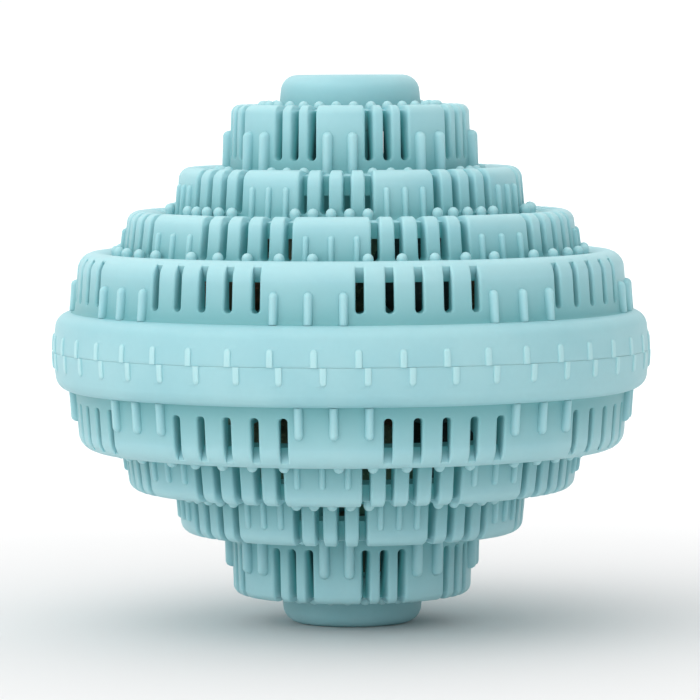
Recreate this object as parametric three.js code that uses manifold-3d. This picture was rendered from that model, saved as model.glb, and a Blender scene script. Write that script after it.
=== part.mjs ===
// Washing ball: two like stepped half shells, pushed onto a coupling ring, round a loose charge of beads.
// Millimetres, +Z up through the poles. The origin is the ball's centre, on the parting plane.
// Angles are in degrees and run from the front, -Y, towards +X.
import * as THREE from 'three';
import { ConvexGeometry } from 'three/addons/geometries/ConvexGeometry.js';
import { mergeVertices } from 'three/addons/utils/BufferGeometryUtils.js';
import Module from 'manifold-3d';

const wasm = await Module();
wasm.setup();

// Clearances between neighbouring pieces
const SEAM_GAP = 0.3;
const FIT_GAP = 0.35;
const BEAD_GAP = 0.3;

// Half shell: its wall, the band round its mouth and the recess inside that band.
// The band stands proud of the first wall's foot by its step.
const WALL = 2.4;
const BAND_STEP = 3.8;
const BAND_HEIGHT = 6.35;
const BAND_SHOULDER = 3;
const MOUTH_WALL = 3;
const RECESS_ROOF = 1.5;
const LEDGE_FALL = 0.8;

// Facets of a turned surface, and their turn, which keeps most of their edges off the slots
const FACETS = 32;
const FACET_TURN = 2;

// Tiers from the band to the pole. Each wall starts at radius and leans in by lean, its rim stands rise
// above the rim below, and round is the rim's rounding. Slots start sill above the foot and run up over the
// rim, or stop short of it by fade. They open into the chamber, whose ceiling lies roof below the rim.
const TIERS = [
  {
    radius: 46.2, lean: 0.5, rise: 10, round: 3, sill: 1.8, fade: 0.7, roof: 3.35,
    slots: { count: 5, pitch: 6, turn: -4 },
    ribs: { count: 3, pitch: 7, width: 1.5, height: 1.05, rise: 5.3 },
  },
  {
    radius: 38.1, lean: 0.7, rise: 6.8, round: 2, sill: 0.5, fade: 0, roof: 3.55,
    slots: { count: 5, pitch: 5.85, turn: 0 },
    ribs: { count: 3, pitch: 6.25, width: 1.05, height: 0.65, rise: 4.7, pointed: true },
  },
  {
    radius: 29.2, lean: 0.5, rise: 7.25, round: 2, sill: 0.95, fade: 0, roof: 4.1,
    slots: { count: 4, pitch: 7.2, turn: -22.5 },
    ribs: { count: 3, pitch: 6.1, width: 1.05, height: 0.65, rise: 5.4, pointed: true },
  },
  {
    radius: 20.2, lean: 0.3, rise: 10.4, round: 1.5, sill: 2.15, fade: 0, roof: 4.3,
    slots: { count: 3, pitch: 8.9, turn: 0 },
    ribs: { count: 2, pitch: 11.7, width: 1.75, height: 1.25, rise: 6.9 },
  },
];
const GROUPS = 8;
const SLOT_WIDTH = 1.35;

// Pole cap, cored from inside
const CAP_RADIUS = 11.9;
const CAP_LEAN = 0.3;
const CAP_RISE = 4.9;
const CAP_ROUND = 2.8;

// Coupling ring and beads
const RING_WALL = 2.6;
const BEAD_DIAMETER = 16;
const BEAD_LAYERS = 4;
const LAYER_TURN = 11;

// Turn of each half about the ball's axis
const UPPER_TURN = 17.7;
const LOWER_TURN = 60.3;

// How far a cutter or the root of a rib runs past the surface that it meets
const OVERRUN = 0.6;

const toRadians = THREE.MathUtils.degToRad;

// Each tier with its heights above the parting plane, and the radii of its rim and of the space inside it.
function tierLevels() {
  let rimBelow = BAND_HEIGHT;
  let foot = BAND_HEIGHT;
  return TIERS.map((tier) => {
    const rim = rimBelow + tier.rise;
    const topRadius = tier.radius - tier.lean;
    const level = {
      ...tier, foot, rim, topRadius,
      crest: topRadius - tier.round,
      inner: topRadius - WALL,
      slotBottom: foot + tier.sill,
      slotTop: tier.fade > 0 ? rim - tier.fade : rim + OVERRUN,
      ceiling: rim - tier.roof,
    };
    rimBelow = rim;
    foot = rim - LEDGE_FALL;
    return level;
  });
}

const levels = tierLevels();
const bandRadius = TIERS[0].radius + BAND_STEP;
const recessRadius = bandRadius - MOUTH_WALL;
const recessDepth = BAND_HEIGHT - RECESS_ROOF;
const topTier = levels[levels.length - 1];
const capFoot = topTier.rim - LEDGE_FALL;
const capTop = topTier.rim + CAP_RISE;
const ringOuter = recessRadius - FIT_GAP;
const ringInner = ringOuter - RING_WALL;
const ringHalfHeight = recessDepth + SEAM_GAP / 2 - FIT_GAP;

// A closed solid from a three.js geometry, with shared corners merged and collapsed faces left out.
function solidOf(geometry) {
  const bare = geometry.clone();
  bare.deleteAttribute('normal');
  bare.deleteAttribute('uv');
  const merged = mergeVertices(bare);
  const corners = merged.index.array;
  const faces = [];
  for (let i = 0; i < corners.length; i += 3) {
    const [a, b, c] = corners.slice(i, i + 3);
    if (a !== b && b !== c && c !== a) faces.push(a, b, c);
  }
  return new wasm.Manifold(new wasm.Mesh({
    numProp: 3,
    vertProperties: new Float32Array(merged.attributes.position.array),
    triVerts: new Uint32Array(faces),
  }));
}

function geometryOf(solid) {
  const mesh = solid.getMesh();
  const geometry = new THREE.BufferGeometry();
  geometry.setAttribute('position', new THREE.BufferAttribute(mesh.vertProperties, 3));
  geometry.setIndex(new THREE.BufferAttribute(mesh.triVerts, 1));
  return geometry;
}

function joined(geometries) {
  return geometries.map(solidOf).reduce((whole, piece) => whole.add(piece));
}

function revolve(outline) {
  const points = outline.map(([radius, height]) => new THREE.Vector2(radius, height));
  return new THREE.LatheGeometry(points, FACETS).rotateX(Math.PI / 2).rotateZ(toRadians(FACET_TURN));
}

// The angles of a row of features that repeats in every group round the axis.
function groupAngles({ count, pitch, turn }) {
  const angles = [];
  for (let group = 0; group < GROUPS; group += 1) {
    for (let i = 0; i < count; i += 1) {
      angles.push(turn + group * 360 / GROUPS + (i - (count - 1) / 2) * pitch);
    }
  }
  return angles;
}

// The half section of one moulding: from the pole down the inside, round the mouth and up the outside.
function shellOutline() {
  const outside = [
    [bandRadius, 0],
    [bandRadius, BAND_HEIGHT - BAND_SHOULDER],
    [bandRadius - Math.min(BAND_SHOULDER, BAND_STEP), BAND_HEIGHT],
  ];
  for (const tier of levels) {
    outside.push([tier.radius, tier.foot], [tier.topRadius, tier.rim - tier.round], [tier.crest, tier.rim]);
  }
  const capSide = CAP_RADIUS - CAP_LEAN;
  outside.push([CAP_RADIUS, capFoot], [capSide, capTop - CAP_ROUND]);
  outside.push([capSide - CAP_ROUND, capTop], [0, capTop]);

  const inside = [[recessRadius, 0], [recessRadius, recessDepth], [levels[0].inner, recessDepth]];
  levels.forEach((tier, i) => {
    const next = i + 1 < levels.length ? levels[i + 1].inner : CAP_RADIUS - WALL;
    inside.push([tier.inner, tier.ceiling], [next, tier.ceiling]);
  });
  inside.push([CAP_RADIUS - WALL, capTop - WALL], [0, capTop - WALL]);
  return [...inside.reverse(), ...outside];
}

// Bars that cut a tier's slots, each from inside the wall to outside it.
function slotCutters(tier) {
  const start = tier.inner - OVERRUN;
  const reach = tier.radius + OVERRUN - start;
  const height = tier.slotTop - tier.slotBottom;
  return groupAngles(tier.slots).map((angle) => new THREE.BoxGeometry(SLOT_WIDTH, reach, height)
    .translate(0, -(start + reach / 2), tier.slotBottom + height / 2)
    .rotateZ(toRadians(angle)));
}

// A rib on the front of a wall: a ridge that stands on the ledge below, with a sloping or a pointed top.
function frontRib({ width, height, rise, pointed }, foot, wallRadius) {
  const low = foot - OVERRUN;
  const high = foot + rise;
  const root = OVERRUN - wallRadius;
  const ridge = -wallRadius - height;
  const side = width / 2 * (height + OVERRUN) / height;
  const slope = width / 2;
  const corners = [[-side, root, low], [side, root, low], [0, ridge, low]];
  if (pointed) corners.push([0, root, high]);
  else corners.push([-side, root, high], [side, root, high], [0, ridge, high - slope]);
  return new ConvexGeometry(corners.map((corner) => new THREE.Vector3(...corner)));
}

// Ribs up the panels between the slot groups of a tier.
function wallRibs(tier) {
  const turn = tier.slots.turn + 180 / GROUPS;
  return groupAngles({ ...tier.ribs, turn })
    .map((angle) => frontRib(tier.ribs, tier.foot, tier.topRadius).rotateZ(toRadians(angle)));
}

// The moulding that makes both halves, mouth down on the parting plane.
function halfShell() {
  return geometryOf(solidOf(revolve(shellOutline()))
    .subtract(joined(levels.flatMap(slotCutters)))
    .add(joined(levels.flatMap(wallRibs))));
}

// A plain hard ring that sits in the recesses of both mouths.
function couplingRing() {
  return geometryOf(solidOf(revolve([
    [ringInner, -ringHalfHeight],
    [ringOuter, -ringHalfHeight],
    [ringOuter, ringHalfHeight],
    [ringInner, ringHalfHeight],
    [ringInner, -ringHalfHeight],
  ])));
}

// The free space for beads, as a list of cylinders between two heights, on both sides of the parting plane.
function chamberZones() {
  const zones = [];
  let low = 0;
  const addZone = (high, radius) => {
    zones.push({ low, high, radius }, { low: -high, high: -low, radius });
    low = high;
  };
  addZone(ringHalfHeight, Math.min(ringInner, levels[0].inner));
  for (const tier of levels) addZone(tier.ceiling + SEAM_GAP / 2, tier.inner);
  addZone(capTop - WALL + SEAM_GAP / 2, CAP_RADIUS - WALL);
  return zones;
}

// How far from the axis a bead's centre may lie at a height, clear of every wall and step.
function beadReach(height, zones) {
  const keepOut = BEAD_DIAMETER / 2 + BEAD_GAP;
  const limits = zones.map(({ low, high, radius }) => {
    const away = Math.max(low - height, height - high, 0);
    return away < keepOut ? radius - Math.sqrt(keepOut ** 2 - away ** 2) : Infinity;
  });
  return Math.min(...limits);
}

// Bead centres: layers one above the other from the lower pole, each of rings inside one another.
function beadCentres() {
  const pitch = BEAD_DIAMETER + BEAD_GAP;
  const zones = chamberZones();
  const floor = WALL - capTop - SEAM_GAP / 2;
  const centres = [];
  for (let layer = 0; layer < BEAD_LAYERS; layer += 1) {
    const height = floor + BEAD_DIAMETER / 2 + BEAD_GAP + layer * pitch;
    for (let radius = beadReach(height, zones); radius >= 0; radius -= pitch) {
      const alone = radius < pitch / 2;
      const count = alone ? 1 : Math.floor(Math.PI / Math.asin(pitch / (2 * radius)));
      for (let i = 0; i < count; i += 1) {
        const angle = toRadians(layer * LAYER_TURN + i * 360 / count);
        const out = alone ? 0 : radius;
        centres.push([out * Math.sin(angle), -out * Math.cos(angle), height]);
      }
    }
  }
  return centres;
}

const shellFinish = { color: 0x9fd3d8, roughness: 0.6, metalness: 0 };
const ringFinish = { color: 0xd8e4e4, roughness: 0.5, metalness: 0 };
const beadKinds = [
  { name: 'brown_bead', color: 0x7a5a48 },
  { name: 'olive_bead', color: 0x6b6c55 },
  { name: 'black_bead', color: 0x2c2a28 },
  { name: 'rust_bead', color: 0x8a4f3a },
];

function piece(name, geometry, finish) {
  const mesh = new THREE.Mesh(geometry, new THREE.MeshStandardMaterial({ ...finish, flatShading: true }));
  mesh.name = name;
  return mesh;
}

const ball = new THREE.Group();
const moulding = halfShell();

const upperShell = piece('upper_shell', moulding, shellFinish);
upperShell.position.z = SEAM_GAP / 2;
upperShell.rotation.z = toRadians(UPPER_TURN);

// The lower half is the same moulding, turned over and then round the axis.
const lowerShell = piece('lower_shell', moulding, shellFinish);
lowerShell.position.z = -SEAM_GAP / 2;
lowerShell.rotation.x = Math.PI;
const lowerHalf = new THREE.Group();
lowerHalf.rotation.z = toRadians(LOWER_TURN);
lowerHalf.add(lowerShell);

ball.add(upperShell, lowerHalf, piece('coupling_ring', couplingRing(), ringFinish));

beadCentres().forEach((centre, i) => {
  const kind = beadKinds[i % beadKinds.length];
  const number = String(Math.floor(i / beadKinds.length) + 1).padStart(2, '0');
  const bead = piece(`${kind.name}_${number}`, new THREE.OctahedronGeometry(BEAD_DIAMETER / 2, 1), {
    color: kind.color, roughness: 0.8, metalness: 0,
  });
  bead.position.set(...centre);
  ball.add(bead);
});

export default ball;
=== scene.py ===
"""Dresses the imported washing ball.

The ball is two soft stepped half shells, the hard ring that couples them and the loose ceramic beads inside.
"""

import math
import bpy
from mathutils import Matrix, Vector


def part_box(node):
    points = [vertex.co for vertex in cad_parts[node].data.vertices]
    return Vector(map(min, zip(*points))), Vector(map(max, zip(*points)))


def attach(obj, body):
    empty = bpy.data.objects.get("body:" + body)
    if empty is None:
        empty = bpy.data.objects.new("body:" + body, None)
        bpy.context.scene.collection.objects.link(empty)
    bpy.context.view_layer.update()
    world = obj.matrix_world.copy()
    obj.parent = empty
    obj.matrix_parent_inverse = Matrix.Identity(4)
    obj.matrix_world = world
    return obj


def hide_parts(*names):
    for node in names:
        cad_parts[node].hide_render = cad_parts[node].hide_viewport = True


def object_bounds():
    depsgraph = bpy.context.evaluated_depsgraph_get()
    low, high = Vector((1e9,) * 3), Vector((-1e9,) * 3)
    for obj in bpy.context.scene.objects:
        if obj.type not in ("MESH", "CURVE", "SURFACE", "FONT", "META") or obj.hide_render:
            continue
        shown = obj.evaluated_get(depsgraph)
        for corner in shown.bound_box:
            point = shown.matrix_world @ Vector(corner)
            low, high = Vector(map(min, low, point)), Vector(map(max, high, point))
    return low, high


bl_info = {
    "name": "Stepped washing ball",
    "version": (1, 0, 0),
    "blender": (4, 5, 0),
    "location": "View3D > Sidebar > Washing Ball",
    "description": "Makes the soft half shells, coupling ring, ceramic beads and stage of a washing ball",
    "category": "Object",
}

from collections import namedtuple

import bpy
import numpy as np
from bpy.props import FloatProperty, FloatVectorProperty, IntProperty, PointerProperty

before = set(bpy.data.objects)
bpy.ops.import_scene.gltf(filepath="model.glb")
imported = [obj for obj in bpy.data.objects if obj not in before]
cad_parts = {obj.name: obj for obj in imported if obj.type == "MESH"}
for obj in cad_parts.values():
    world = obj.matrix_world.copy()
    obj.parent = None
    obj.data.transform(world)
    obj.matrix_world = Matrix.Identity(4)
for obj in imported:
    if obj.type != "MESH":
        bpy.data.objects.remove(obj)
CAD_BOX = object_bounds()

# Lengths here are millimetres unless a name says otherwise; they become metres where a mesh is made.
MM = 0.001

# A row of like features in one group: how many, their pitch and the row's centre, both in degrees.
Row = namedtuple("Row", "count pitch centre")
# A rib's width, how far it stands out, how far it climbs the wall, and how much painted highlight makes its
# back paler.
RibForm = namedtuple("RibForm", "width height rise rub")
# A nub's share of the way across its ledge, and how deep its root is sunk.
NubSeat = namedtuple("NubSeat", "share sink")
# One tier of the half shell: its wall's radius at the foot and its lean, its rim's rise over the rim below
# and its rounding, the slots' sill over the foot, and the chamber's ceiling under the rim.
# The slots' draft is their width inside the wall as a share of that outside, and the field after it is how
# far the painted shade at their bottom goes past the painted shade of the inside colour. fade is how far
# under the rim they run out, or None where they cross it.
Tier = namedtuple("Tier", "radius lean rise round sill ceiling_below_rim slots draft dark fade "
                          "ribs rib_form nubs nub_seat")
Cap = namedtuple("Cap", "radius lean rise round")

GROUPS = 8
PERIOD = 2 * math.pi / GROUPS
TIERS = (
    Tier(radius=46.2, lean=0.5, rise=10.0, round=3.0, sill=1.8, ceiling_below_rim=3.35,
         slots=Row(5, 6.0, -4.0), draft=1.6, dark=1.0, fade=0.75,
         ribs=Row(3, 7.0, 18.8), rib_form=RibForm(width=1.5, height=1.05, rise=5.3, rub=0.7),
         nubs=Row(5, 8.0, 2.3), nub_seat=NubSeat(share=0.76, sink=0.1)),
    Tier(radius=38.1, lean=0.7, rise=6.8, round=2.0, sill=0.5, ceiling_below_rim=3.55,
         slots=Row(5, 5.85, 0.0), draft=0.95, dark=1.0, fade=None,
         ribs=Row(3, 6.25, 22.5), rib_form=RibForm(width=1.05, height=0.65, rise=4.7, rub=0.3),
         nubs=Row(5, 5.63, -23.7), nub_seat=NubSeat(share=0.84, sink=0.0)),
    Tier(radius=29.2, lean=0.5, rise=7.25, round=2.0, sill=0.95, ceiling_below_rim=4.1,
         slots=Row(4, 7.2, -22.5), draft=0.7, dark=1.0, fade=None,
         ribs=Row(3, 6.1, 0.0), rib_form=RibForm(width=1.05, height=0.65, rise=5.4, rub=0.3),
         nubs=Row(3, 7.8, -0.5), nub_seat=NubSeat(share=0.69, sink=0.9)),
    Tier(radius=20.2, lean=0.3, rise=10.4, round=1.5, sill=2.15, ceiling_below_rim=4.3,
         slots=Row(3, 8.9, 0.0), draft=0.2, dark=2.4, fade=None,
         ribs=Row(2, 11.7, 22.5), rib_form=RibForm(width=1.75, height=1.25, rise=6.9, rub=0.6),
         nubs=Row(4, 11.25, 1.375), nub_seat=NubSeat(share=0.585, sink=0.65)),
)
CAP = Cap(radius=11.9, lean=0.3, rise=4.9, round=2.8)

# The rest of the half shell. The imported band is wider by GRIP_ROOM, so that it reaches over the grip ribs.
WALL = 2.4
FOOT_FILLET = 0.5
LEDGE_FALL = 0.8
LEDGE_STEEPNESS = 1.35
BAND_STEP = 3.3
BAND_HEIGHT = 6.35
BAND_SHOULDER = 2.6
BAND_BULGE = 0.3
BAND_CORNER = 0.07
BAND_LEDGE = 0.1
GRIP_ROOM = 0.5
GRIP_SQUARENESS = 6
GRIP_TIP = 0.3
RIB_TIP = 0.15
MOUTH_WALL = 3.0
MOUTH_LIP = 0.14
LEAD_IN = 0.3
RECESS_ROOF = 1.5
ROOF_EDGE = 0.3
BAND_RADIUS = TIERS[0].radius + BAND_STEP
RECESS_RADIUS = BAND_RADIUS + GRIP_ROOM - MOUTH_WALL
RECESS_DEPTH = BAND_HEIGHT - RECESS_ROOF

# How the halves and the ring are set in the ball
SEAM_GAP = 0.3
FIT_GAP = 0.35
RING_WALL = 2.6
RING_INNER_EDGE = 0.3
UPPER_TURN = math.radians(17.7)
LOWER_TURN = math.radians(60.3)

# A nub's rows of points from the root up: their widths, and their drops under its top, in radii of its head.
NUB_SIDES = 8
NUB_ROOT = 0.5
NUB_WIDTHS = np.array([0.8, 0.86, 1.0, 0.86, 0.5])
NUB_DROPS = np.array([1.5, 1.0, 0.5, 0.134])

# The columns of a tier's grid. A slot has ten, from its margin (0) over its rounded lip (1 to 3) to its floor
# (4) and out again. A rib has seven, at shares of its half width. Plain columns fill the gaps between them.
SLOT, RIB, PLAIN = range(3)
Columns = namedtuple("Columns", "kind centre place")
SLOT_PATTERN = np.array([0, 1, 2, 3, 4, 4, 3, 2, 1, 0])
SLOT_SIDE = np.array([-1] * 5 + [1] * 5)
SLOT_FLOOR = SLOT_PATTERN.max()
SLOT_OPENING = len(SLOT_PATTERN) // 2 - 1  # the open cell lies between this column and the next
RIB_PATTERN = np.array([-1.0, -0.88, -0.5, 0.0, 0.5, 0.88, 1.0])

# How far beside a slot its margin and lip columns run, the half widths that its lip and floor keep where the
# slot closes, so that columns never cross, and how far below the sill its columns have spread out again. The
# last two are the shares of the slot's reach between columns that are spread, and that are put in order.
SLOT_MARGIN = 0.55
LIP_OUTER = 0.35
LIP_INNER = 0.1
PINCH = 0.02
LIP_PINCH = 1.8 * PINCH
SPREAD_BELOW = 0.7
SPREAD_STEP = 0.2
ORDER_STEP = 0.15

# For each column of a slot's pattern: its share of the lip's rounding, which is full at EDGE_RUN into the
# wall, its share of the notch that a groove makes in the rim, and how much the slot widens there, over
# FLARE_RISE. Behind the rim the notch's floor rises again by a share of its depth.
EDGE_SHARES = np.array([0.0, 0.0, 0.3, 1.0, 0.0])
EDGE_RUN = 0.6
NOTCH = 0.95
NOTCH_SHARES = np.array([0.0, 0.0, 0.12, 0.7, 1.0])
NOTCH_FLARE = np.array([0.0, 0.0, 0.08, 0.1, 0.08])
FLARE_RISE = 1.3
SADDLE_RISE = 0.35

# How finely the surfaces are sampled. HAIR parts rows that lie almost together.
ARC_STEPS = 7
SMALL_ARC_STEPS = 4
SHOULDER_STEPS = 9
RING_ARC_STEPS = 5
PLAIN_STEP = math.radians(1.7)
PLAIN_COLUMNS = 128
WALL_STEP = 0.9
HAIR = 0.01
TOLERANCE = 1e-6
MERGE_DIGITS = 5
BAND_ROWS = (0.5, 1.1)
CAP_TOP_ROWS = np.array([7.0, 3.5])
SILL_ROWS = np.array([0.6, 0.25, HAIR, 0.0])  # below a slot's sill
SLOT_END_ROWS = np.radians([25, 50, 75, 90])  # round a slot's lower end
ROUND_END_ROWS = (1, 0.5, 0.15, 0)  # below a rib's tip, in half widths
LEDGE_ROWS = np.array([0.12, 0.24, 0.36, 0.48])  # shares of a ledge that belong to the tier in front of it
WALL_LEDGE_ROWS = np.array([0.54, 0.7, 0.82])  # and to the tier behind it
CAP_LEDGE_ROWS = np.array([0.54, 0.7, 0.8])  # or to the cap

# Relief tells the material where a point lies and how much light or shade is painted there: 1 for painted
# highlight on the back of a rib or grip, 0 on the plain skin, -1 for painted shade inside the wall, and lower
# for more painted shade at the bottom of a narrow slot. Inside corners get painted shade, and rims and nubs a
# little painted highlight.
INSIDE_RELIEF = -1.0
CORNER_SHADE = 0.7
CORNER_SHADE_REACH = 0.8
CAP_SHADE = 0.4
RIM_HIGHLIGHT = 0.45
RIM_HIGHLIGHT_START = 1.3
RIM_HIGHLIGHT_SPAN = 1.1
NUB_HIGHLIGHT = 0.6

# Beads: rows and columns of points, and the slow waves that make their skin uneven
CLAYS = ("brown", "olive", "black", "rust")
BEAD_ROWS, BEAD_COLUMNS = 18, 28
WAVES = 6
WAVE_SCALE = 2.0
WAVE_SPREAD = (0.6, 1.3)
WAVE_PHASES = 6.28

# Edges that turn by more degrees than this are shaded sharp.
SHELL_SHARP, RING_SHARP, BEAD_SHARP, FLOOR_SHARP = 50, 40, 60, 30

# Stage: the floor's rings, the spans in metres over which its painted shadow next to the ball fades out and
# over which it gives out light, away from the ball, the directions of the studio's lights and of its shaded
# side, and the spans over which each of them comes in.
FLOOR_RADII = (20000.0, 3000.0, 200.0)
FLOOR_SHADOW_SPAN = (0.07, 0.3)
FLOOR_LIFTS = (0.15, 0.6)
KEY_DIRECTION = (-0.42, -0.72, 0.55)
BACK_DIRECTION = (-0.10, 0.86, 0.50)
SHADE_DIRECTION = (0.9, -0.43, 0.0)
LAMP_SPAN = (0.45, 0.95)
SHADE_SPAN = (-0.2, 0.9)
CEILING_SPAN = (0.25, 0.85)
HORIZON_SPAN = (0.1, 0.05)
SENSOR_WIDTH = 36
CLIP_END_M = 100
BLACK = (0, 0, 0, 1)
WHITE = (1, 1, 1, 1)


class ShellSizes(bpy.types.PropertyGroup):
    """Sizes and colours of the soft half shells."""

    slot_width: FloatProperty(
        name="Slot width", description="Width of the water slots", default=1.35 * MM, unit="LENGTH")
    slot_edge: FloatProperty(
        name="Slot edge", description="Rounding of the bars between the slots",
        default=0.35 * MM, unit="LENGTH")
    grip_count: IntProperty(name="Grip ribs", description="Ribs round the band of each half", default=44)
    grip_width: FloatProperty(
        name="Grip rib width", description="Width of one grip rib", default=1.15 * MM, unit="LENGTH")
    grip_relief: FloatProperty(
        name="Grip relief", description="Height of the grip ribs on the band",
        default=0.3 * MM, unit="LENGTH")
    grip_rise: FloatProperty(
        name="Grip rise", description="How far the grip ribs run up the band",
        default=2.8 * MM, unit="LENGTH")
    nub_radius: FloatProperty(
        name="Nub radius", description="Radius of the nubs' round heads", default=0.95 * MM, unit="LENGTH")
    nub_height: FloatProperty(
        name="Nub height", description="Height of the nubs above their ledge",
        default=2.0 * MM, unit="LENGTH")
    colour: FloatVectorProperty(
        name="Colour", description="Teal of the soft moulding", subtype="COLOR",
        default=(0.325, 0.615, 0.67))
    pale: FloatVectorProperty(
        name="Pale colour", description="Paler teal of the moulding's cloudy patches", subtype="COLOR",
        default=(0.375, 0.66, 0.705))
    # Painted highlight: the colour that ribs, nubs, grips and rims are painted towards, where light catches
    # them.
    raised: FloatVectorProperty(
        name="Raised colour", description="Teal of the ribs, nubs and grips, rubbed paler", subtype="COLOR",
        default=(0.45, 0.73, 0.765))
    # Painted shade: the colour inside the slots and the chamber stands in for the shade there.
    inside: FloatVectorProperty(
        name="Inside colour", description="Deeper teal inside the slots and the chamber", subtype="COLOR",
        default=(0.09, 0.35, 0.37))
    # Painted shade: the colour at the bottom of the narrow slots stands in for the shaded chamber behind
    # them.
    depth: FloatVectorProperty(
        name="Depth colour", description="Dark teal at the bottom of the narrow slots", subtype="COLOR",
        default=(0.03, 0.125, 0.135))
    # Painted glow: light that the inside surfaces give out, standing in for daylight through the wall.
    glow: FloatProperty(
        name="Glow", description="Daylight that comes through the wall, as a share of the inside colour",
        subtype="FACTOR", default=0.15)
    roughness: FloatProperty(
        name="Roughness", description="Roughness of the soft moulding", subtype="FACTOR", default=0.5)


class RingSizes(bpy.types.PropertyGroup):
    """Finish of the coupling ring."""

    edge: FloatProperty(
        name="Edge", description="Lead-in rounding on the ring's edges", default=0.6 * MM, unit="LENGTH")
    colour: FloatVectorProperty(
        name="Colour", description="Pale grey of the hard ring", subtype="COLOR", default=(0.62, 0.70, 0.70))
    roughness: FloatProperty(
        name="Roughness", description="Roughness of the hard ring", subtype="FACTOR", default=0.42)


class BeadSizes(bpy.types.PropertyGroup):
    """Form and colours of the ceramic beads."""

    unevenness: FloatProperty(
        name="Unevenness", description="How far a bead's skin dips under its round",
        default=0.35 * MM, unit="LENGTH")
    brown: FloatVectorProperty(
        name="Brown", description="Brown fired clay", subtype="COLOR", default=(0.36, 0.21, 0.14))
    olive: FloatVectorProperty(
        name="Olive", description="Olive-grey fired clay", subtype="COLOR", default=(0.31, 0.305, 0.20))
    black: FloatVectorProperty(
        name="Black", description="Dark mineral clay", subtype="COLOR", default=(0.09, 0.088, 0.085))
    rust: FloatVectorProperty(
        name="Rust", description="Rust-red fired clay", subtype="COLOR", default=(0.44, 0.19, 0.11))
    roughness: FloatProperty(
        name="Roughness", description="Roughness of unglazed clay", subtype="FACTOR", default=0.72)


class StageSizes(bpy.types.PropertyGroup):
    """Floor, light and camera."""

    floor_colour: FloatVectorProperty(
        name="Floor", description="Pale floor", subtype="COLOR", default=(0.98, 0.98, 0.98))
    # Painted shadow: the floor is painted less pale next to the ball.
    floor_shadow_share: FloatProperty(
        name="Floor near", description="Paleness of the floor next to the ball, as a share", subtype="FACTOR",
        default=0.8)
    floor_lift: FloatProperty(
        name="Floor lift", subtype="FACTOR", default=0.12,
        description="Light that the far floor gives out, so that it meets the horizon unseen")
    horizon: FloatProperty(
        name="Horizon", description="Strength of the white band at the horizon", default=1.02)
    sky: FloatProperty(name="Sky", description="Strength of the studio's walls", default=0.36)
    shade: FloatProperty(name="Shade", description="Loss of strength on the right hand", default=0.2)
    sky_rise: FloatProperty(name="Sky rise", description="Added strength of the ceiling", default=0.66)
    key: FloatProperty(
        name="Key light", description="Added strength of the large light in front, on the left", default=0.98)
    back: FloatProperty(
        name="Back light", description="Added strength of the large light behind", default=0.55)
    lens: FloatProperty(name="Lens", description="Focal length for a 36 mm sensor", default=245.96)
    camera_distance: FloatProperty(
        name="Camera distance", description="Level distance from the ball's axis",
        default=0.80, unit="LENGTH")
    camera_side: FloatProperty(
        name="Camera side", description="Distance to the right of the ball's axis",
        default=-0.0002, unit="LENGTH")
    camera_height: FloatProperty(
        name="Camera height", description="Height above the parting plane", default=0.04966, unit="LENGTH")
    camera_tilt: FloatProperty(
        name="Camera tilt", description="How far the camera looks down", default=0.06228, unit="ROTATION")
    camera_roll: FloatProperty(
        name="Camera roll", description="Turn about the line of sight",
        default=math.radians(-0.25), unit="ROTATION")


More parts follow.
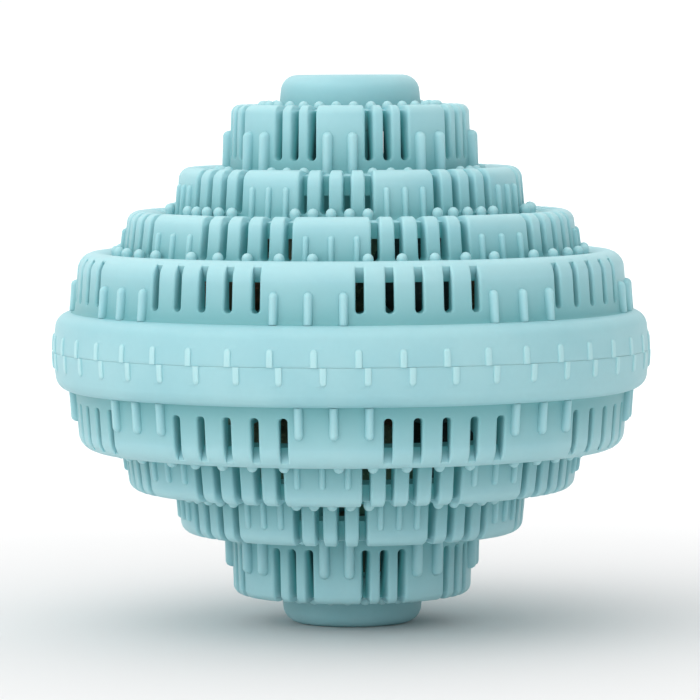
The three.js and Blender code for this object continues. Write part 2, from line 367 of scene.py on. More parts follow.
class Surface:
    """Grids of points round the axis and the strips that close them, gathered as one mesh of triangles."""

    def __init__(self):
        self.points = []
        self.reliefs = []
        self.triangles = []
        self.count = 0

    def _add_points(self, points, relief=0.0):
        numbers = self.count + np.arange(len(points))
        self.points.append(points)
        self.reliefs.append(np.broadcast_to(np.ravel(relief), len(points)))
        self.count += len(points)
        return numbers

    def grid(self, points, keep=None, relief=0.0):
        """Closed rings of points, row by row, with the cells between them. keep says which cells are wanted.

        Rows that climb the outside face outwards; rows that go down the inside face the axis."""
        rows, columns = points.shape[:2]
        here = self._add_points(points.reshape(-1, 3), relief).reshape(rows, columns)
        right = np.roll(here, -1, axis=1)
        first = np.stack([here[:-1], right[:-1], right[1:]], axis=-1)
        second = np.stack([here[:-1], right[1:], here[1:]], axis=-1)
        keep = np.ones((rows - 1, columns), bool) if keep is None else keep
        self.triangles += [first[keep], second[keep]]
        return here

    def _in_order(self, ring):
        points = np.concatenate(self.points)[ring]
        angles = np.arctan2(points[:, 0], -points[:, 1])
        order = np.argsort(angles, kind="stable")
        return ring[order], angles[order]

    def strip(self, ring_a, ring_b):
        """Triangles between two closed rings with points at different angles.

        All angles are put in one order. Each point makes one triangle with the point before it on its own
        ring and the last point passed on the other ring."""
        a, angles_a = self._in_order(ring_a)
        b, angles_b = self._in_order(ring_b)
        is_b = np.concatenate([np.zeros(len(a), bool), np.ones(len(b), bool)])
        is_b = is_b[np.argsort(np.concatenate([angles_a, angles_b]), kind="stable")]
        at_a = np.cumsum(~is_b) - 1
        at_b = np.cumsum(is_b) - 1
        on_a = np.stack([a[at_a - 1], a[at_a], b[at_b]], axis=-1)[~is_b]
        on_b = np.stack([b[at_b], b[at_b - 1], a[at_a]], axis=-1)[is_b]
        self.triangles += [on_a, on_b]

    def pole(self, ring, height, before):
        """A fan between a ring and a point on the axis, where the rows end, or start if before."""
        tip = self._add_points(np.array([[0.0, 0.0, height]]))[0]
        right = np.roll(ring, -1)
        tips = np.full_like(ring, tip)
        corners = [tips, right, ring] if before else [ring, right, tips]
        self.triangles.append(np.stack(corners, axis=-1))

    def copies(self, points, triangles, places, relief):
        """One small closed shape that stands out of the skin, set at many places."""
        shifted = points[None] + places[:, None]
        first = self.count + np.arange(len(places)) * len(points)
        self._add_points(shifted.reshape(-1, 3), relief)
        self.triangles.append((triangles[None] + first[:, None, None]).reshape(-1, 3))

    def arrays(self):
        """Points with doubles merged, the triangles that still have three corners, and the points' relief."""
        points = np.concatenate(self.points)
        triangles = np.concatenate(self.triangles)
        _, keep, number = np.unique(
            np.round(points, MERGE_DIGITS), axis=0, return_index=True, return_inverse=True)
        triangles = number.reshape(-1)[triangles]
        a, b, c = triangles.T
        whole = (a != b) & (b != c) & (c != a)
        return points[keep], triangles[whole], np.concatenate(self.reliefs)[keep]


def around(radius, angle, height):
    """Points at a radius, an angle from the front towards +X, and a height."""
    radius, angle, height = np.broadcast_arrays(radius, angle, height)
    return np.stack([radius * np.sin(angle), -radius * np.cos(angle), height], axis=-1)


def smooth(x):
    """0 below 0, 1 above 1, and a smooth step between."""
    x = np.clip(x, 0, 1)
    return x * x * (3 - 2 * x)


def row_angles(row):
    """Angles of one row of features in a single group, spread evenly about its centre."""
    steps = np.arange(row.count) - (row.count - 1) / 2
    return np.radians(row.centre + steps * row.pitch)


def arc(centre_r, centre_z, radius, start, end, steps=ARC_STEPS):
    """Radii and heights along an arc of a profile, between two angles from the outward direction."""
    angle = np.radians(np.linspace(start, end, steps))
    return centre_r + radius * np.cos(angle), centre_z + radius * np.sin(angle)


def round_end(height, tip, reach):
    """1 below a round end and a quarter circle from there to 0 at its tip, at each height."""
    along = np.clip((height - tip + reach) / reach, 0, 1)
    return np.sqrt(np.clip(1 - along ** 2, 0, 1))


# A tier's heights above the parting plane: its foot and rim, the slots' sill, the chamber's ceiling and the
# lower end of the inner wall. Then its radii: the wall's top, the rim's crest, the inside and the next wall.
Level = namedtuple("Level", "foot rim sill ceiling inner_low top crest inner next_radius")


def tier_levels():
    """The level of each tier, from the band to the pole."""
    levels = []
    foot, rim_below, inner_low = BAND_HEIGHT, BAND_HEIGHT, RECESS_DEPTH
    next_radii = [tier.radius for tier in TIERS[1:]] + [CAP.radius]
    for tier, next_radius in zip(TIERS, next_radii):
        rim = rim_below + tier.rise
        ceiling = rim - tier.ceiling_below_rim
        top = tier.radius - tier.lean
        levels.append(Level(
            foot=foot, rim=rim, sill=foot + tier.sill, ceiling=ceiling, inner_low=inner_low,
            top=top, crest=top - tier.round, inner=top - WALL, next_radius=next_radius))
        foot, rim_below, inner_low = rim - LEDGE_FALL, rim, ceiling
    return levels


LEVELS = tier_levels()
CAP_FOOT = LEVELS[-1].rim - LEDGE_FALL
CAP_TOP = LEVELS[-1].rim + CAP.rise


def ledge(level, share):
    """Radii and heights on the ledge behind a rim, which falls by a smooth step to a shallow trough.

    share is 0 at the crest of the rim and 1 at the next wall."""
    radius = level.crest + (level.next_radius - level.crest) * share
    return radius, level.rim - LEDGE_FALL * smooth(LEDGE_STEEPNESS * share)


def wall_heights(low, high, marks):
    """Heights up a wall: every marked height, and even steps that keep clear of them."""
    even = np.linspace(low, high, max(2, round((high - low) / WALL_STEP) + 1))
    marked = np.array([mark for mark in marks if low < mark < high])
    nearest = np.abs(even[:, None] - marked[None]).min(axis=1, initial=WALL_STEP)
    clear = nearest > WALL_STEP / 4
    clear[[0, -1]] = True
    return np.unique(np.round(np.concatenate([even[clear], marked]), 4))


def wall_profile(start, form, foot, rim, marks, end):
    """Radii and heights of one step: ledge, foot fillet, leaning wall, round rim and the ledge behind it.

    form is a tier or the cap. start and end are the radii and heights on the two ledges."""
    shoulder = rim - form.round
    fillet_r, fillet_z = arc(
        form.radius + FOOT_FILLET, foot + FOOT_FILLET, -FOOT_FILLET, 90, 0, SMALL_ARC_STEPS)
    wall_z = wall_heights(foot + FOOT_FILLET, shoulder, marks)[1:]
    wall_r = form.radius - form.lean * ((wall_z - foot) / (shoulder - foot))
    rim_r, rim_z = arc(form.radius - form.lean - form.round, shoulder, form.round, 0, 90)
    r = np.concatenate([start[0], fillet_r, wall_r, rim_r[1:], end[0]])
    z = np.concatenate([start[1], fillet_z, wall_z, rim_z[1:], end[1]])
    return r, z


def profile_normal(r, z):
    """Outward unit direction at each point of a profile that climbs the outside."""
    dr, dz = np.gradient(r), np.gradient(z)
    length = np.hypot(dr, dz)
    return dz / length, -dr / length


def tier_columns(slot_angles, rib_angles, rib_half, slot_half, radius, period, groups):
    """Columns of a grid for every group: ten to a slot, seven to a rib, and plain ones in the gaps between.

    Each column has its kind, the angle that it is measured from and its place in the pattern of its kind."""
    slot_reach = (slot_half + SLOT_MARGIN) / radius
    slot_steps = SLOT_SIDE * slot_reach * (1 - ORDER_STEP * SLOT_PATTERN)
    rib_steps = RIB_PATTERN * rib_half / radius
    rows = [(SLOT, a, k, a + step) for a in slot_angles for k, step in enumerate(slot_steps)]
    rows += [(RIB, a, k, a + step) for a in rib_angles for k, step in enumerate(rib_steps)]
    kind, centre, place, nominal = np.array(sorted(rows, key=lambda row: row[-1]), float).T
    gaps = np.diff(np.append(nominal, nominal[0] + period))
    opening = (kind == SLOT) & (place == SLOT_OPENING)
    extra = np.where(opening, 0, (gaps / PLAIN_STEP).astype(int))
    owner = np.repeat(np.arange(len(gaps)), extra)
    step = np.arange(len(owner)) - np.repeat(np.cumsum(extra) - extra, extra) + 1
    between = nominal[owner] + gaps[owner] * step / (extra[owner] + 1)
    kind = np.append(kind, np.full(len(between), PLAIN))
    centre = np.append(centre, between)
    place = np.append(place, np.zeros(len(between)))
    order = np.argsort(np.append(nominal, between), kind="stable")
    turns = np.repeat(np.arange(groups) * period, len(order))
    return Columns(np.tile(kind[order], groups).astype(int), np.tile(centre[order], groups) + turns,
                   np.tile(place[order], groups).astype(int))


def slot_offsets(height, sill, half, draft, flare, place):
    """Sideways offset of a slot's columns at each height, in millimetres.

    Above the sill they follow the slot's sides and its round lower end; below it they spread out evenly.
    Inside the wall the slot's width changes by the draft, and flare, from 0 to 1, widens it over the rim."""
    pattern = SLOT_PATTERN[place][None]
    up = np.clip(height - sill, 0, half)[:, None]
    open_half = np.sqrt(np.maximum(half ** 2 - (half - up) ** 2, 0))
    in_slot = np.select(
        [pattern == 0, pattern == 1, pattern == 2, pattern == 3],
        [half + SLOT_MARGIN, open_half + LIP_OUTER, open_half + LIP_INNER, np.maximum(open_half, LIP_PINCH)],
        np.maximum(open_half * draft[:, None], PINCH))
    in_slot = in_slot + NOTCH_FLARE[pattern] * flare[:, None]
    spread = (half + SLOT_MARGIN) * (1 - SPREAD_STEP * pattern)
    along = smooth((height - sill + SPREAD_BELOW) / (SPREAD_BELOW - HAIR))[:, None]
    return SLOT_SIDE[place][None] * (spread + (in_slot - spread) * along)


def rib_shape(height, foot, form, place):
    """Sideways offset and height of a rib's columns at each height, in millimetres.

    Across, a rib is half an ellipse. Its top is a quarter of a ball, and its foot stands on the ledge."""
    across = RIB_PATTERN[place][None]
    half = form.width / 2
    left = round_end(height, foot + form.rise, half)[:, None]
    return across * half * np.maximum(left, RIB_TIP), form.height * left * np.sqrt(1 - across ** 2)


def corner_shade_share(height, foot, rim):
    """How much of the painted shade of an inside corner is left at each height up a wall."""
    return np.clip(1 - (height - foot) / (CORNER_SHADE_REACH * (rim - foot)), 0, 1)


def rim_highlight_share(height, rim, rounding):
    """How much painted highlight, which makes a rim paler, there is at each height up a wall."""
    return smooth((height - rim + RIM_HIGHLIGHT_START * rounding) / (RIM_HIGHLIGHT_SPAN * rounding))


def groove_floor(tier, level, height):
    """Radius of a slot's floor at each height.

    It is the inside of the wall, and slopes out to the rim above the ceiling where the slot fades away."""
    if tier.fade is None:
        return np.full_like(height, level.inner)
    end = level.rim - tier.fade
    end_radius = level.crest + math.sqrt(tier.round ** 2 - (tier.round - tier.fade) ** 2)
    rising = np.clip((height - level.ceiling) / (end - level.ceiling), 0, None)
    return level.inner + (end_radius - level.inner) * rising


def tier_marks(tier, level, slot_half):
    """Heights at which a tier's wall needs a row of points, for its slots' lower ends and its ribs' tips."""
    slot_end = level.sill + slot_half * (1 - np.cos(SLOT_END_ROWS))
    rib_tip = level.foot + tier.rib_form.rise
    rib_end = [rib_tip - tier.rib_form.width / 2 * share for share in ROUND_END_ROWS]
    return [*(level.sill - SILL_ROWS), *slot_end, level.ceiling, *rib_end]


def tier_patch(surface, tier, level, start, sizes):
    """One tier's outside and the wall inside it, with its slots cut through and its ribs raised.

    A column in a slot is drawn in to the slot's floor, a column of a rib is pushed out, and the cells
    between a slot's two floor columns are left open up to the chamber's ceiling.
    Returns the lowest and highest outer rings, then the highest and lowest inner rings."""
    half = sizes.slot_width / MM / 2
    r, z = wall_profile(start, tier, level.foot, level.rim, tier_marks(tier, level, half),
                        ledge(level, LEDGE_ROWS))
    normal_r, normal_z = profile_normal(r, z)
    climbing = np.arange(len(z)) > len(start[0])
    trough = slice(len(z) - len(LEDGE_ROWS), None)
    past_rim = LEDGE_ROWS / LEDGE_ROWS[-1]
    cols = tier_columns(row_angles(tier.slots), row_angles(tier.ribs), tier.rib_form.width / 2, half,
                        level.top, PERIOD, GROUPS)
    is_slot, is_rib = cols.kind == SLOT, cols.kind == RIB
    pattern = SLOT_PATTERN[cols.place % len(SLOT_PATTERN)]
    is_floor = is_slot & (pattern == SLOT_FLOOR)

    # Sideways, the columns follow the slots' sides and the ribs' flanks.
    notched = tier.fade is None
    flare = smooth((z - level.rim + FLARE_RISE) / FLARE_RISE) * (climbing & notched)
    flare[trough] = (1 - past_rim) * notched
    in_slot = climbing & (z >= level.sill - TOLERANCE)
    depth = np.where(in_slot, np.maximum(r - groove_floor(tier, level, z), 0), 0)
    draft = 1 + (tier.draft - 1) * np.clip(depth / WALL, 0, 1)
    slot_x = slot_offsets(z, level.sill, half, draft, flare, np.where(is_slot, cols.place, 0))
    rib_x, rib_out = rib_shape(z, level.foot, tier.rib_form, np.where(is_rib, cols.place, 0))
    angle = cols.centre + np.where(is_slot, slot_x, np.where(is_rib, rib_x, 0)) / level.top

    # A rib stands out between the fillet at the foot and the rounding of the rim.
    under_rim = climbing & (z < level.rim - tier.round + HAIR)
    fillet_out = np.where(climbing, np.maximum(r - tier.radius, 0), 0)
    rib_out = np.maximum(rib_out * under_rim[:, None] - fillet_out[:, None], 0)
    rib_out = np.where(is_rib, rib_out, 0)

    # A slot's lip is rounded, its floor goes into the wall, and its groove dips where it crosses the rim.
    edge = sizes.slot_edge / MM * np.clip(depth / EDGE_RUN, 0, 1)
    lowered = np.where(is_slot, EDGE_SHARES[pattern] * edge[:, None], 0)
    sunk = np.where(is_floor, depth[:, None], 0)
    saddle = np.full_like(z, level.rim - NOTCH)
    saddle[trough] += SADDLE_RISE * NOTCH * past_rim
    dip = np.where(climbing & notched, np.maximum(z - saddle, 0), 0)
    dip = np.where(is_slot, NOTCH_SHARES[pattern] * dip[:, None], 0)
    radius = r[:, None] - lowered * normal_r[:, None] - sunk + rib_out
    height = z[:, None] - np.maximum(lowered * normal_z[:, None], dip)

    # Painted highlight on ribs and rims, painted shade in inside corners and most in slots, more so at their
    # lower ends.
    highlighted = np.where(climbing, rim_highlight_share(z, level.rim, tier.round), 0)
    highlighted[trough] = 1 - past_rim
    corner = np.where(climbing, corner_shade_share(z, level.foot, level.rim), 1)
    corner[trough] = LEDGE_ROWS
    dark = 1 + (tier.dark - 1) * np.clip((level.rim - z) / (level.rim - level.sill), 0, 1)
    paler = np.maximum(tier.rib_form.rub * rib_out / tier.rib_form.height, RIM_HIGHLIGHT * highlighted[:, None])
    painted_shade = np.maximum((lowered + dark[:, None] * sunk) / WALL, CORNER_SHADE * corner[:, None])

    through = (z[:-1] >= level.sill - TOLERANCE) & (z[1:] <= level.ceiling + TOLERANCE) & climbing[:-1]
    opening = is_slot & (cols.place == SLOT_OPENING)
    outer = surface.grid(around(radius, angle, height), ~(through[:, None] & opening), paler - painted_shade)
    slot_z = z[in_slot & (z <= level.ceiling + TOLERANCE)]
    inside = Columns(*(column[is_floor | (cols.kind == PLAIN)] for column in cols))
    inner = inside_patch(surface, tier, level, slot_z, half, inside)
    return outer[0], outer[-1], inner[0], inner[-1]


def inside_patch(surface, tier, level, slot_z, slot_half, cols):
    """The wall inside a tier, from the chamber's ceiling down, open where the slots come through.

    Its columns are the slots' floor columns and the plain ones, and slot_z are the rows along the slots."""
    z = np.sort(np.append(slot_z, level.inner_low))[::-1]
    draft, flare = np.full_like(z, tier.draft), np.zeros_like(z)
    slot_x = slot_offsets(z, level.sill, slot_half, draft, flare, cols.place)
    angle = cols.centre + np.where(cols.kind == SLOT, slot_x, 0) / level.top
    through = z[1:] >= level.sill - TOLERANCE
    opening = (cols.kind == SLOT) & (cols.place == SLOT_OPENING)
    # The inside wall is painted with shade in the inside colour.
    return surface.grid(around(level.inner, angle, z[:, None]), ~(through[:, None] & opening), INSIDE_RELIEF)


def band_patch(surface, sizes):
    """The band round the mouth: the mouth's face, the side with its grips, and the round shoulder.

    The side bulges faintly, as a parabola. Across, a grip is a flattened half round, and its upper end is a
    quarter circle."""
    rise = sizes.grip_rise / MM
    half = sizes.grip_width / MM / 2
    side_top = BAND_HEIGHT - BAND_SHOULDER
    corner_r, corner_z = arc(
        BAND_RADIUS + BAND_BULGE - BAND_CORNER, BAND_CORNER, BAND_CORNER, -90, 0, SMALL_ARC_STEPS)
    side_z = np.array([*BAND_ROWS, *(rise - half * np.array([2, *ROUND_END_ROWS, -1]))])
    side_r = BAND_RADIUS + BAND_BULGE * (1 - (side_z / side_top) ** 2)
    shoulder_r, shoulder_z = arc(BAND_RADIUS - BAND_SHOULDER, side_top, BAND_SHOULDER, 0, 90, SHOULDER_STEPS)
    r = np.concatenate([[RECESS_RADIUS + LEAD_IN], corner_r, side_r, shoulder_r])
    z = np.concatenate([[-MOUTH_LIP], corner_z - MOUTH_LIP, side_z, shoulder_z])

    pitch = 2 * math.pi / sizes.grip_count
    cols = tier_columns([], [0.0], half, 0.0, BAND_RADIUS, pitch, sizes.grip_count)
    is_grip = cols.kind == RIB
    across = np.where(is_grip, RIB_PATTERN[cols.place % len(RIB_PATTERN)], 0)
    outside = np.arange(len(z)) > 0
    left = (round_end(z, rise, half) * outside)[:, None]
    share = left * np.where(is_grip, np.sqrt(1 - across ** GRIP_SQUARENESS), 0)
    angle = cols.centre + np.maximum(left, GRIP_TIP) * across * half / BAND_RADIUS
    radius = r[:, None] + sizes.grip_relief / MM * share
    # The grips' relief paints them paler, a painted highlight.
    rings = surface.grid(around(radius, angle, z[:, None]), relief=share)
    return rings[0], rings[-1]


def turned_patch(surface, r, z, relief=0.0):
    """A plain surface turned about the axis from a profile of radii and heights."""
    angle = np.arange(PLAIN_COLUMNS) * 2 * math.pi / PLAIN_COLUMNS
    relief = np.broadcast_to(np.asarray(relief)[..., None], (len(r), PLAIN_COLUMNS))
    rings = surface.grid(around(np.asarray(r)[:, None], angle[None], np.asarray(z)[:, None]), relief=relief)
    return rings[0], rings[-1]


def nub_shape(radius, height):
    """A nub about the axis: a short stem under a round head. Points and triangles."""
    r = NUB_WIDTHS * radius
    z = np.append(-NUB_ROOT, height - NUB_DROPS * radius)
    angle = np.arange(NUB_SIDES) * 2 * math.pi / NUB_SIDES
    nub = Surface()
    rings = nub.grid(around(r[:, None], angle[None], z[:, None]))
    nub.pole(rings[-1], height, before=False)
    nub.pole(rings[0], -NUB_ROOT, before=True)
    return np.concatenate(nub.points), np.concatenate(nub.triangles)


def nub_places(level, row, seat):
    """Places of a row of nubs along a ledge, in every group."""
    radius, height = ledge(level, np.array(seat.share))
    angle = (row_angles(row)[None] + np.arange(GROUPS)[:, None] * PERIOD).reshape(-1)
    return around(radius, angle, height - seat.sink)


def half_shell(sizes):
    """The moulding of one half, mouth down on the parting plane: points in millimetres, triangles and relief.

    The outside climbs from the mouth to the pole and the inside comes down again to the mouth."""
    surface = Surface()
    mouth, ring = band_patch(surface, sizes)
    start = (np.array([TIERS[0].radius + FOOT_FILLET + BAND_LEDGE]), np.array([BAND_HEIGHT]))
    inner_rings = []
    for tier, level in zip(TIERS, LEVELS):
        first, last, inner_top, inner_bottom = tier_patch(surface, tier, level, start, sizes)
        surface.strip(ring, first)
        ring = last
        inner_rings.append((inner_top, inner_bottom))
        start = ledge(level, WALL_LEDGE_ROWS)

    face = (CAP_TOP_ROWS, np.full_like(CAP_TOP_ROWS, CAP_TOP))
    cap_r, cap_z = wall_profile(ledge(LEVELS[-1], CAP_LEDGE_ROWS), CAP, CAP_FOOT, CAP_TOP, [], face)
    # The cap's foot gets painted shade, as an inside corner does.
    first, last = turned_patch(surface, cap_r, cap_z, -CAP_SHADE * corner_shade_share(cap_z, CAP_FOOT, CAP_TOP))
    surface.strip(ring, first)
    surface.pole(last, CAP_TOP, before=False)

    core, core_top, ceiling = CAP.radius - WALL, CAP_TOP - WALL, LEVELS[-1].ceiling
    core_r = [core / 2, core, core, core + HAIR]
    core_z = [core_top, core_top, ceiling + HAIR, ceiling]
    # The core inside the cap gets painted shade in the inside colour.
    first, ring = turned_patch(surface, core_r, core_z, INSIDE_RELIEF)
    surface.pole(first, core_top, before=True)
    for inner_top, inner_bottom in reversed(inner_rings):
        surface.strip(ring, inner_top)
        ring = inner_bottom
    recess_r = [LEVELS[0].inner + ROOF_EDGE, RECESS_RADIUS, RECESS_RADIUS, RECESS_RADIUS + LEAD_IN / 2]
    recess_z = [RECESS_DEPTH, RECESS_DEPTH, LEAD_IN, LEAD_IN / 3]
    # The recess inside the band gets painted shade in the inside colour.
    first, last = turned_patch(surface, recess_r, recess_z, INSIDE_RELIEF)
    surface.strip(ring, first)
    surface.strip(last, mouth)

    points, triangles = nub_shape(sizes.nub_radius / MM, sizes.nub_height / MM)
    for tier, level in zip(TIERS, LEVELS):
        # Each nub gets a little painted highlight.
        surface.copies(points, triangles, nub_places(level, tier.nubs, tier.nub_seat), NUB_HIGHLIGHT)
    return surface.arrays()


def ring_profile(lead):
    """Radii and heights round the coupling ring's section: a tall band, its outer edges rounded by lead."""
    outer = RECESS_RADIUS - FIT_GAP
    inner = outer - RING_WALL
    top = RECESS_DEPTH + SEAM_GAP / 2 - FIT_GAP
    soft = RING_INNER_EDGE
    corners = (
        (outer - lead, -top + lead, lead, -90, 0), (outer - lead, top - lead, lead, 0, 90),
        (inner + soft, top - soft, soft, 90, 180), (inner + soft, -top + soft, soft, 180, 270),
    )
    r, z = np.concatenate([arc(*corner, RING_ARC_STEPS) for corner in corners], axis=1)
    return np.append(r, r[0]), np.append(z, z[0])


def bead_skin(radius, unevenness, seed):
    """A bead whose skin dips under its sphere by the mean of a few slow waves. Points and triangles."""
    draw = np.random.default_rng(seed)
    tilt = np.linspace(0, math.pi, BEAD_ROWS + 2)[1:-1]
    turn = np.arange(BEAD_COLUMNS) * 2 * math.pi / BEAD_COLUMNS
    bead = Surface()
    rings = bead.grid(around(np.sin(tilt)[:, None], turn[None], -np.cos(tilt)[:, None]))
    bead.pole(rings[-1], 1.0, before=False)
    bead.pole(rings[0], -1.0, before=True)
    ball = np.concatenate(bead.points)
    waves = draw.normal(size=(WAVES, 3)) * WAVE_SCALE * draw.uniform(*WAVE_SPREAD, (WAVES, 1))
    dip = np.sin(ball @ waves.T + draw.uniform(0, WAVE_PHASES, WAVES)).mean(axis=1)
    skin = radius - unevenness * (0.5 + 0.5 * dip / np.abs(dip).max())
    return ball * skin[:, None], np.concatenate(bead.triangles)


def turned(points, angle):
    """Points turned about the axis."""
    c, s = math.cos(angle), math.sin(angle)
    return points @ np.array([[c, s, 0], [-s, c, 0], [0, 0, 1]])


def put_mesh(name, points, triangles, material, sharp_degrees, relief=None):
    """A new object at the origin from points in millimetres, shaded smooth but for its sharp edges."""
    mesh = bpy.data.meshes.new(name)
    mesh.vertices.add(len(points))
    mesh.vertices.foreach_set("co", np.ravel(points * MM).astype(np.float32))
    mesh.loops.add(triangles.size)
    mesh.loops.foreach_set("vertex_index", np.ravel(triangles).astype(np.int32))
    mesh.polygons.add(len(triangles))
    mesh.polygons.foreach_set("loop_start", np.arange(0, triangles.size, 3, dtype=np.int32))
    mesh.update(calc_edges=True)
    mesh.validate()
    mesh.polygons.foreach_set("use_smooth", np.ones(len(mesh.polygons), bool))
    mesh.set_sharp_from_angle(angle=math.radians(sharp_degrees))
    if relief is not None:
        mesh.attributes.new("relief", "FLOAT", "POINT").data.foreach_set("value", relief.astype(np.float32))
    mesh.materials.append(material)
    piece = bpy.data.objects.new(name, mesh)
    bpy.context.scene.collection.objects.link(piece)
    return piece


class Value:
    """A shader socket used as a number: an expression on values adds its Math nodes."""

    def __init__(self, shader, socket):
        self.shader = shader
        self.socket = socket

    def _math(self, operation, a, b):
        return self.shader.node("ShaderNodeMath", {"operation": operation}, {0: a, 1: b})

    def __add__(self, other):
        return self._math("ADD", self, other)

    __radd__ = __add__

    def __sub__(self, other):
        return self._math("SUBTRACT", self, other)

    def __rsub__(self, other):
        return self._math("SUBTRACT", other, self)

    def __mul__(self, other):
        return self._math("MULTIPLY", self, other)

    __rmul__ = __mul__


class Shader:
    """The node tree of a material or world, built by expressions."""

    def __init__(self, owner, coordinates="Object"):
        owner.use_nodes = True
        self.owner = owner
        self.tree = owner.node_tree
        self.tree.nodes.clear()
        self.place = self.node("ShaderNodeTexCoord", output=coordinates)

    def node(self, kind, settings=None, sockets=None, output=0):
        """Adds a node: its settings first, then its sockets' values or links. Gives one output as a value."""
        node = self.tree.nodes.new(kind)
        for key, value in (settings or {}).items():
            setattr(node, key, value)
        for key, value in (sockets or {}).items():
            if isinstance(value, Value):
                self.tree.links.new(value.socket, node.inputs[key])
            else:
                node.inputs[key].default_value = value
        return Value(self, node.outputs[output]) if len(node.outputs) else node

    def noise(self, scale, detail=3.0, roughness=0.55):
        """Cloudy noise in the piece's own space, with scale cells to the metre."""
        return self.node("ShaderNodeTexNoise", {}, {
            "Vector": self.place, "Scale": scale, "Detail": detail, "Roughness": roughness})

    def mix(self, factor, a, b):
        """Colour a where the factor is 0 and colour b where it is 1."""
        return self.node("ShaderNodeMix", {"data_type": "RGBA"}, {0: factor, 6: a, 7: b}, output=2)

    def ramp(self, value, low, high):
        """A number that goes from 0 at low to 1 at high."""
        return self.node("ShaderNodeMapRange", {"clamp": True}, {0: value, 1: low, 2: high, 3: 0.0, 4: 1.0})

    def bump(self, height, strength, distance):
        """A normal that follows a height over the surface, in metres of distance."""
        return self.node("ShaderNodeBump", {}, {"Strength": strength, "Distance": distance, "Height": height})

    def finish(self, sockets):
        """The surface shader with these sockets, joined to the output."""
        shader = self.node("ShaderNodeBsdfPrincipled", {}, sockets)
        self.node("ShaderNodeOutputMaterial", {}, {"Surface": shader})
        return self.owner


def rgba(colour, gain=1.0):
    """A colour with its alpha, made darker or lighter by a gain."""
    return (*[min(1.0, c * gain) for c in colour], 1.0)


def soft_moulding(sizes):
    """Matte thermoplastic rubber: faintly cloudy teal, a fine moulded grain and a soft broken gloss.

    The shells' relief paints light and shade into it: painted highlight on ribs, grips, nubs and rims,
    painted shade in inside corners, inside the wall and at the bottom of the narrow slots, and a faint
    painted glow inside the wall."""
    shader = Shader(bpy.data.materials.new("soft_moulding"))
    cloud = shader.ramp(shader.noise(scale=60.0, detail=2.0), low=0.35, high=0.68)
    speck = shader.ramp(shader.noise(scale=900.0, detail=2.0), low=0.3, high=0.75)
    relief = shader.node("ShaderNodeAttribute", {"attribute_name": "relief"}, output="Fac")
    at_bottom = shader.ramp(relief, low=INSIDE_RELIEF, high=1.8 * INSIDE_RELIEF)
    colour = shader.mix(cloud, rgba(sizes.colour), rgba(sizes.pale))
    colour = shader.mix(speck * 0.06, colour, rgba(sizes.colour, gain=0.7))
    # Painted highlight on raised ribs, grips, nubs and rims.
    colour = shader.mix(shader.ramp(relief, low=0.0, high=1.0), colour, rgba(sizes.raised))
    # Painted shade inside the wall, and more painted shade at the bottom of the narrow slots.
    colour = shader.mix(shader.ramp(relief, low=0.0, high=INSIDE_RELIEF), colour, rgba(sizes.inside))
    colour = shader.mix(at_bottom, colour, rgba(sizes.depth))
    # Painted glow inside the wall, but not at the bottom of the narrow slots.
    lit = shader.ramp(relief, low=0.6 * INSIDE_RELIEF, high=INSIDE_RELIEF)
    glow = shader.mix(lit, BLACK, rgba(sizes.inside, sizes.glow))
    glow = shader.mix(at_bottom, glow, BLACK)
    grain = shader.noise(scale=2600.0, detail=2.0, roughness=0.6)
    return shader.finish({
        "Base Color": colour,
        "Roughness": sizes.roughness + (cloud - 0.5) * 0.08,
        "Normal": shader.bump(grain, strength=0.12, distance=0.06 * MM),
        "Emission Color": glow,
        "Emission Strength": 1.0,
        "Subsurface Weight": 0.25,
        "Subsurface Radius": (0.6, 1.0, 1.0),
        "Subsurface Scale": 1.2 * MM,
        "Specular IOR Level": 0.5,
    })


def hard_plastic(sizes):
    """Pale hard plastic of the ring, with faint patches of wear and a satin gloss."""
    shader = Shader(bpy.data.materials.new("ring_plastic"))
    wear = shader.ramp(shader.noise(scale=240.0, detail=4.0), low=0.4, high=0.7)
    return shader.finish({
        "Base Color": shader.mix(wear, rgba(sizes.colour), rgba(sizes.colour, gain=0.9)),
        "Roughness": sizes.roughness + wear * 0.1,
        "Normal": shader.bump(shader.noise(scale=1500.0), strength=0.1, distance=0.05 * MM),
    })


def fired_clay(name, colour, roughness):
    """Unglazed fired clay: mottled body colour, pale grit, and a dusty pitted skin."""
    shader = Shader(bpy.data.materials.new(name))
    mottle = shader.ramp(shader.noise(scale=320.0, detail=4.0), low=0.32, high=0.7)
    grit = shader.ramp(shader.noise(scale=1900.0, detail=1.0), low=0.62, high=0.7)
    body = shader.mix(mottle, rgba(colour, gain=0.75), rgba(colour, gain=1.35))
    pits = shader.noise(scale=1100.0, detail=4.0, roughness=0.65)
    return shader.finish({
        "Base Color": shader.mix(grit * 0.5, body, rgba(colour, gain=2.2)),
        "Roughness": roughness + mottle * 0.15,
        "Normal": shader.bump(pits, strength=0.5, distance=0.15 * MM),
    })


def pale_floor(sizes):
    """Matte floor with a painted shadow next to the ball; far away it gives out a little light to meet the
    horizon.
    """
    shader = Shader(bpy.data.materials.new("pale_floor"))
    away = shader.node("ShaderNodeVectorMath", {"operation": "LENGTH"}, {0: shader.place}, output="Value")
    near, far = rgba(sizes.floor_colour, sizes.floor_shadow_share), rgba(sizes.floor_colour)
    lift = rgba(sizes.floor_colour, sizes.floor_lift)
    return shader.finish({
        # Painted shadow: less pale next to the ball, fading out away from it.
        "Base Color": shader.mix(shader.ramp(away, *FLOOR_SHADOW_SPAN), near, far),
        "Roughness": 0.9,
        "Specular IOR Level": 0.1,
        "Emission Color": shader.mix(shader.ramp(away, *FLOOR_LIFTS), BLACK, lift),
        "Emission Strength": 1.0,
    })


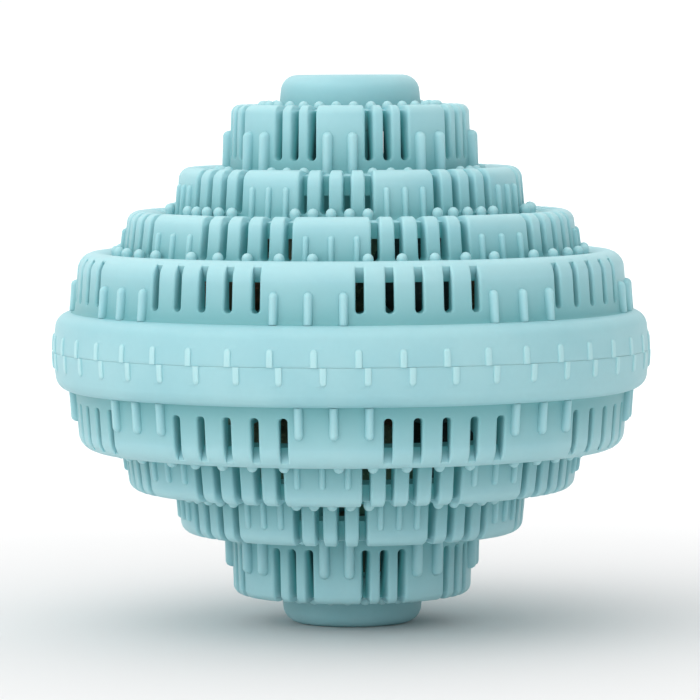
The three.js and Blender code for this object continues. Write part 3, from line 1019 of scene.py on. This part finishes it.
def studio_world(sizes):
    """The light round the ball: grey walls, shaded on one side, a pale ceiling and two large soft lights.

    A white band at the horizon hides where the floor ends."""
    world = bpy.data.worlds.new("studio")
    sky = Shader(world, "Generated")
    height = sky.node("ShaderNodeSeparateXYZ", {}, {0: sky.place}, output="Z")
    toward_key, toward_back, toward_shade = (
        sky.node("ShaderNodeVectorMath", {"operation": "DOT_PRODUCT"}, {0: sky.place, 1: way}, output="Value")
        for way in (KEY_DIRECTION, BACK_DIRECTION, SHADE_DIRECTION))
    walls = sizes.sky - sizes.shade * sky.ramp(toward_shade, *SHADE_SPAN)
    ceiling = sizes.sky_rise * sky.ramp(height, *CEILING_SPAN)
    lamps = sizes.key * sky.ramp(toward_key, *LAMP_SPAN) + sizes.back * sky.ramp(toward_back, *LAMP_SPAN)
    strength = walls + ceiling + lamps
    strength = strength + (sizes.horizon - strength) * sky.ramp(height, *HORIZON_SPAN)
    light = sky.node("ShaderNodeBackground", {}, {"Color": WHITE, "Strength": strength})
    sky.node("ShaderNodeOutputWorld", {}, {"Surface": light})
    return world


def front_camera(sizes):
    """The camera in front of the ball, looking a little down."""
    camera = bpy.data.cameras.new("camera")
    camera.sensor_fit = "HORIZONTAL"
    camera.sensor_width = SENSOR_WIDTH
    camera.lens = sizes.lens
    camera.clip_end = CLIP_END_M
    eye = bpy.data.objects.new("camera", camera)
    eye.location = (sizes.camera_side, -sizes.camera_distance, sizes.camera_height)
    eye.rotation_mode = "ZYX"
    eye.rotation_euler = (math.pi / 2 - sizes.camera_tilt, 0, sizes.camera_roll)
    return eye


class WASHBALL_OT_half_shells(bpy.types.Operator):
    """Make the two soft half shells"""

    bl_idname = "washball.half_shells"
    bl_label = "Half shells"

    def execute(self, context):
        sizes = context.scene.washball_shell
        points, triangles, relief = half_shell(sizes)
        material = soft_moulding(sizes)
        lift = np.array([0, 0, SEAM_GAP / 2])
        turned_over = points * [1, -1, -1]
        halves = (
            ("upper_soft_shell", "upper_half", "upper_shell", turned(points, UPPER_TURN) + lift),
            ("lower_soft_shell", "lower_half", "lower_shell", turned(turned_over, LOWER_TURN) - lift),
        )
        for name, body, node, placed in halves:
            piece = put_mesh(name, placed, triangles, material, SHELL_SHARP, relief)
            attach(piece, body)
            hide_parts(node)
        return {"FINISHED"}


class WASHBALL_OT_coupling_ring(bpy.types.Operator):
    """Make the hard ring that joins the two mouths"""

    bl_idname = "washball.coupling_ring"
    bl_label = "Coupling ring"

    def execute(self, context):
        sizes = context.scene.washball_ring
        surface = Surface()
        turned_patch(surface, *ring_profile(sizes.edge / MM))
        points, triangles, _ = surface.arrays()
        piece = put_mesh("join_ring", points, triangles, hard_plastic(sizes), RING_SHARP)
        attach(piece, "coupling")
        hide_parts("coupling_ring")
        return {"FINISHED"}


class WASHBALL_OT_beads(bpy.types.Operator):
    """Make the loose ceramic beads"""

    bl_idname = "washball.beads"
    bl_label = "Ceramic beads"

    def execute(self, context):
        sizes = context.scene.washball_beads
        clays = {kind: fired_clay(f"{kind}_clay", getattr(sizes, kind), sizes.roughness) for kind in CLAYS}
        nodes = sorted(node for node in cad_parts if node.split("_")[0] in CLAYS)
        for seed, node in enumerate(nodes):
            kind = node.split("_")[0]
            low, high = (np.array(corner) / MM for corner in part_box(node))
            points, triangles = bead_skin((high[2] - low[2]) / 2, sizes.unevenness / MM, seed)
            centre = (low + high) / 2
            piece = put_mesh(f"{node}_clay", points + centre, triangles, clays[kind], BEAD_SHARP)
            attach(piece, "bead_charge")
            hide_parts(node)
        return {"FINISHED"}


class WASHBALL_OT_stage(bpy.types.Operator):
    """Make the floor, the studio's light and the camera"""

    bl_idname = "washball.stage"
    bl_label = "Stage"

    def execute(self, context):
        scene = context.scene
        sizes = scene.washball_stage
        surface = Surface()
        floor_z = CAD_BOX[0][2] / MM
        _, rim = turned_patch(surface, FLOOR_RADII, [floor_z] * len(FLOOR_RADII))
        surface.pole(rim, floor_z, before=False)
        points, triangles, _ = surface.arrays()
        put_mesh("floor", points, triangles, pale_floor(sizes), FLOOR_SHARP)
        scene.world = studio_world(sizes)
        scene.camera = front_camera(sizes)
        scene.collection.objects.link(scene.camera)
        scene.view_settings.view_transform = "Standard"
        return {"FINISHED"}


OPERATORS = (WASHBALL_OT_half_shells, WASHBALL_OT_coupling_ring, WASHBALL_OT_beads, WASHBALL_OT_stage)


class WASHBALL_PT_panel(bpy.types.Panel):
    """Lists the pieces of the washing ball"""

    bl_idname = "WASHBALL_PT_panel"
    bl_label = "Washing Ball"
    bl_space_type = "VIEW_3D"
    bl_region_type = "UI"
    bl_category = "Washing Ball"

    def draw(self, context):
        for operator in OPERATORS:
            self.layout.operator(operator.bl_idname)


SIZES = {
    "washball_shell": ShellSizes, "washball_ring": RingSizes,
    "washball_beads": BeadSizes, "washball_stage": StageSizes,
}
CLASSES = (*SIZES.values(), *OPERATORS, WASHBALL_PT_panel)


def register():
    for cls in CLASSES:
        bpy.utils.register_class(cls)
    for name, group in SIZES.items():
        setattr(bpy.types.Scene, name, PointerProperty(type=group))


def unregister():
    for name in SIZES:
        delattr(bpy.types.Scene, name)
    for cls in reversed(CLASSES):
        bpy.utils.unregister_class(cls)


def main():
    register()
    bpy.ops.washball.half_shells()
    bpy.ops.washball.coupling_ring()
    bpy.ops.washball.beads()
    bpy.ops.washball.stage()


if __name__ == "__main__":
    main()
